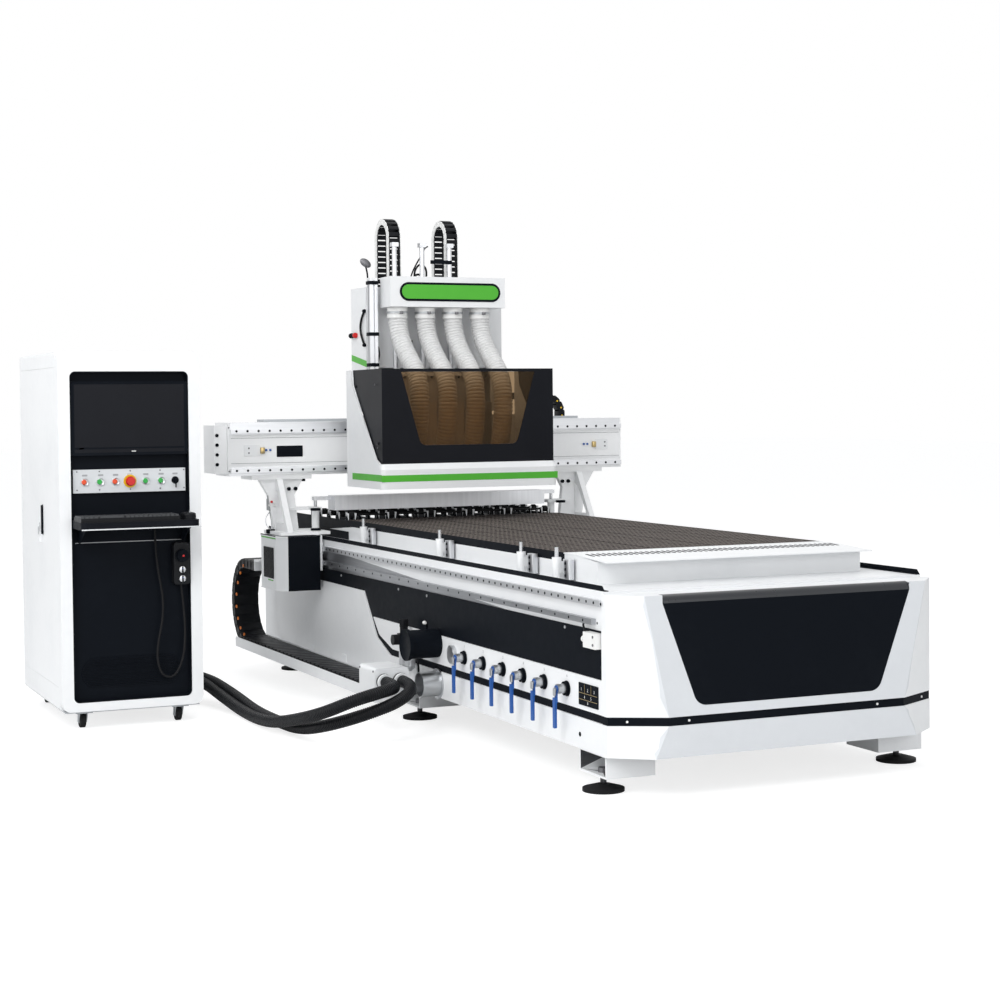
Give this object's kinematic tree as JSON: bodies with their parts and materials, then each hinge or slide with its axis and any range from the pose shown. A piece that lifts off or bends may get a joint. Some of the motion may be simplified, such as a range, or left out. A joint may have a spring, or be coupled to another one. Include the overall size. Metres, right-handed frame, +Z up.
{
  "type": "cnc nesting machine",
  "caption": "Long-bed gantry router with a zoned vacuum table, multi-spindle head, infeed wheels, drag chains and a separate control cabinet.",
  "frame": {"origin": "middle of the footprint of the machine and its cabinet, on the floor", "axes": "+X to the right along the gantry seen from the unloading end, +Y towards the infeed end, +Z up"},
  "size_m": [3.398, 4.366, 2.452],
  "materials": {
    "frame_paint": "satin",
    "casing_white": "gloss",
    "trim_black": "satin",
    "table_frame": "satin",
    "table_board": "matte",
    "fittings": "satin",
    "cast_white": "satin",
    "chain_black": "matte",
    "cover_white": "gloss",
    "screen_black": "satin",
    "pane_brown": "gloss",
    "hose_clear": "satin",
    "slide_alloy": "satin",
    "spindle_body": "satin",
    "tool_steel": "satin",
    "handle_blue": "satin",
    "wheel_rubber": "matte",
    "panel_black": "satin",
    "desk_grey": "satin",
    "plastic_black": "matte",
    "button_green": "gloss",
    "button_red": "gloss",
    "cord_black": "matte"
  },
  "bodies": {
    "machine": {"bed_frame": "frame_paint", "bed_casing": "casing_white", "bed_dark_trim": "trim_black", "table_base": "table_frame", "vacuum_grid": "table_board", "air_fittings": "fittings", "ychain_runs": "chain_black", "cabinet_shell": "casing_white", "cabinet_fascia": "panel_black", "control_desk": "desk_grey", "monitor": "plastic_black", "pendant": "plastic_black", "conduit_1": "cord_black", "conduit_2": "cord_black", "pendant_cord": "cord_black"},
    "gantry": {"gantry_beam": "cast_white", "gantry_columns": "cast_white", "drive_housings": "casing_white", "xchain": "chain_black"},
    "side_chain_bend": {"ychain_bend": "chain_black"},
    "pusher": {"sheet_pusher": "casing_white"},
    "head": {"carriage": "cast_white", "head_cover": "cover_white", "head_screen": "screen_black", "head_window": "pane_brown", "dust_manifold": "casing_white", "head_housing": "casing_white", "dust_hoses": "hose_clear", "z_chains": "chain_black"},
    "vertical_slide": {"z_slide": "slide_alloy"},
    "pins": {"stop_pins": "tool_steel"},
    "door": {"cabinet_door": "casing_white"},
    "estop_head": {"estop": "button_red"},
    "key": {"key_switch": "tool_steel"},
    "pendant_wheel": {"handwheel": "tool_steel"},
    "casters_front": {"caster_wheels_front": "wheel_rubber"},
    "casters_rear": {"caster_wheels_rear": "wheel_rubber"},
    "spindle_1_body": {"spindle_1": "spindle_body"},
    "tool_1": {"tool_shaft_1": "tool_steel"},
    "spindle_2_body": {"spindle_2": "spindle_body"},
    "tool_2": {"tool_shaft_2": "tool_steel"},
    "spindle_3_body": {"spindle_3": "spindle_body"},
    "tool_3": {"tool_shaft_3": "tool_steel"},
    "tool_4": {"tool_shaft_4": "tool_steel"},
    "valve_1": {"valve_handle_1": "handle_blue"},
    "valve_2": {"valve_handle_2": "handle_blue"},
    "valve_3": {"valve_handle_3": "handle_blue"},
    "valve_4": {"valve_handle_4": "handle_blue"},
    "valve_5": {"valve_handle_5": "handle_blue"},
    "valve_6": {"valve_handle_6": "handle_blue"},
    "wheel_row_1": {"infeed_wheels_1": "wheel_rubber"},
    "wheel_row_2": {"infeed_wheels_2": "wheel_rubber"},
    "wheel_row_3": {"infeed_wheels_3": "wheel_rubber"},
    "wheel_row_4": {"infeed_wheels_4": "wheel_rubber"},
    "wheel_row_5": {"infeed_wheels_5": "wheel_rubber"},
    "button_1_cap": {"button_1": "button_red"},
    "button_2_cap": {"button_2": "button_green"},
    "button_3_cap": {"button_3": "button_red"},
    "button_4_cap": {"button_4": "button_green"},
    "button_5_cap": {"button_5": "button_green"}
  },
  "joints": [
    {"name": "gantry_travel", "type": "slide", "parent": "machine", "child": "gantry", "axis": [0, 1, 0], "range_m": [-2.6, 0.25], "deforming": ["ychain_runs"]},
    {"name": "side_chain_travel", "type": "slide", "parent": "machine", "child": "side_chain_bend", "axis": [0, 1, 0], "range_m": [-1.3, 0.125]},
    {"name": "pusher_lift", "type": "slide", "parent": "gantry", "child": "pusher", "axis": [0, 0, 1], "range_m": [0, 0.036]},
    {"name": "head_travel", "type": "slide", "parent": "gantry", "child": "head", "axis": [1, 0, 0], "range_m": [-0.56, 0.67], "deforming": ["xchain"]},
    {"name": "vertical_travel", "type": "slide", "parent": "head", "child": "vertical_slide", "axis": [0, 0, 1], "range_m": [-0.15, 0], "deforming": ["z_chains"]},
    {"name": "pin_lift", "type": "slide", "parent": "machine", "child": "pins", "axis": [0, 0, 1], "range_m": [-0.045, 0]},
    {"name": "door_hinge", "type": "hinge", "parent": "machine", "child": "door", "pos_m": [-1.688, 1.2562, 0.9], "axis": [0, 0, -1], "range_deg": [0, 110]},
    {"name": "estop_press", "type": "slide", "parent": "machine", "child": "estop_head", "axis": [0, 1, 0], "range_m": [0, 0.006], "stiffness_N_per_m": 600},
    {"name": "key_turn", "type": "hinge", "parent": "machine", "child": "key", "pos_m": [-1.153, 0.349, 1.12], "axis": [0, 1, 0], "range_deg": [0, 90]},
    {"name": "handwheel_turn", "type": "hinge", "parent": "machine", "child": "pendant_wheel", "pos_m": [-1.136, 0.311, 0.774], "axis": [0, 1, 0], "continuous": true},
    {"name": "front_caster_roll", "type": "hinge", "parent": "machine", "child": "casters_front", "pos_m": [-1.363, 0.407, 0.034], "axis": [1, 0, 0], "continuous": true},
    {"name": "rear_caster_roll", "type": "hinge", "parent": "machine", "child": "casters_rear", "pos_m": [-1.363, 1.23, 0.034], "axis": [1, 0, 0], "continuous": true},
    {"name": "spindle_1_plunge", "type": "slide", "parent": "vertical_slide", "child": "spindle_1_body", "axis": [0, 0, 1], "range_m": [-0.06, 0]},
    {"name": "tool_1_spin", "type": "hinge", "parent": "spindle_1_body", "child": "tool_1", "pos_m": [0.2565, 1.143, 1.14], "axis": [0, 0, 1], "continuous": true},
    {"name": "spindle_2_plunge", "type": "slide", "parent": "vertical_slide", "child": "spindle_2_body", "axis": [0, 0, 1], "range_m": [-0.06, 0]},
    {"name": "tool_2_spin", "type": "hinge", "parent": "spindle_2_body", "child": "tool_2", "pos_m": [0.4135, 1.143, 1.14], "axis": [0, 0, 1], "continuous": true},
    {"name": "spindle_3_plunge", "type": "slide", "parent": "vertical_slide", "child": "spindle_3_body", "axis": [0, 0, 1], "range_m": [-0.06, 0]},
    {"name": "tool_3_spin", "type": "hinge", "parent": "spindle_3_body", "child": "tool_3", "pos_m": [0.5705, 1.143, 1.14], "axis": [0, 0, 1], "continuous": true},
    {"name": "tool_4_spin", "type": "hinge", "parent": "vertical_slide", "child": "tool_4", "pos_m": [0.7275, 1.143, 1.14], "axis": [0, 0, 1], "continuous": true},
    {"name": "valve_1_turn", "type": "hinge", "parent": "machine", "child": "valve_1", "pos_m": [-0.214, -0.728, 0.363], "axis": [1, 0, 0], "range_deg": [0, 90]},
    {"name": "valve_2_turn", "type": "hinge", "parent": "machine", "child": "valve_2", "pos_m": [-0.214, -0.929, 0.363], "axis": [1, 0, 0], "range_deg": [0, 90]},
    {"name": "valve_3_turn", "type": "hinge", "parent": "machine", "child": "valve_3", "pos_m": [-0.214, -1.13, 0.363], "axis": [1, 0, 0], "range_deg": [0, 90]},
    {"name": "valve_4_turn", "type": "hinge", "parent": "machine", "child": "valve_4", "pos_m": [-0.214, -1.331, 0.363], "axis": [1, 0, 0], "range_deg": [0, 90]},
    {"name": "valve_5_turn", "type": "hinge", "parent": "machine", "child": "valve_5", "pos_m": [-0.214, -1.532, 0.363], "axis": [1, 0, 0], "range_deg": [0, 90]},
    {"name": "valve_6_turn", "type": "hinge", "parent": "machine", "child": "valve_6", "pos_m": [-0.214, -1.733, 0.363], "axis": [1, 0, 0], "range_deg": [0, 90]},
    {"name": "wheel_row_1_roll", "type": "hinge", "parent": "machine", "child": "wheel_row_1", "pos_m": [0.548, 1.152, 0.882], "axis": [1, 0, 0], "continuous": true},
    {"name": "wheel_row_2_roll", "type": "hinge", "parent": "machine", "child": "wheel_row_2", "pos_m": [0.548, 1.297, 0.882], "axis": [1, 0, 0], "continuous": true},
    {"name": "wheel_row_3_roll", "type": "hinge", "parent": "machine", "child": "wheel_row_3", "pos_m": [0.548, 1.442, 0.882], "axis": [1, 0, 0], "continuous": true},
    {"name": "wheel_row_4_roll", "type": "hinge", "parent": "machine", "child": "wheel_row_4", "pos_m": [0.548, 1.587, 0.882], "axis": [1, 0, 0], "continuous": true},
    {"name": "wheel_row_5_roll", "type": "hinge", "parent": "machine", "child": "wheel_row_5", "pos_m": [0.548, 1.732, 0.882], "axis": [1, 0, 0], "continuous": true},
    {"name": "button_1_press", "type": "slide", "parent": "machine", "child": "button_1_cap", "axis": [0, 1, 0], "range_m": [0, 0.004], "stiffness_N_per_m": 400},
    {"name": "button_2_press", "type": "slide", "parent": "machine", "child": "button_2_cap", "axis": [0, 1, 0], "range_m": [0, 0.004], "stiffness_N_per_m": 400},
    {"name": "button_3_press", "type": "slide", "parent": "machine", "child": "button_3_cap", "axis": [0, 1, 0], "range_m": [0, 0.004], "stiffness_N_per_m": 400},
    {"name": "button_4_press", "type": "slide", "parent": "machine", "child": "button_4_cap", "axis": [0, 1, 0], "range_m": [0, 0.004], "stiffness_N_per_m": 400},
    {"name": "button_5_press", "type": "slide", "parent": "machine", "child": "button_5_cap", "axis": [0, 1, 0], "range_m": [0, 0.004], "stiffness_N_per_m": 400}
  ],
  "couplings": [
    {"joint": "side_chain_travel", "follows": "gantry_travel", "ratio": 0.5}
  ]
}
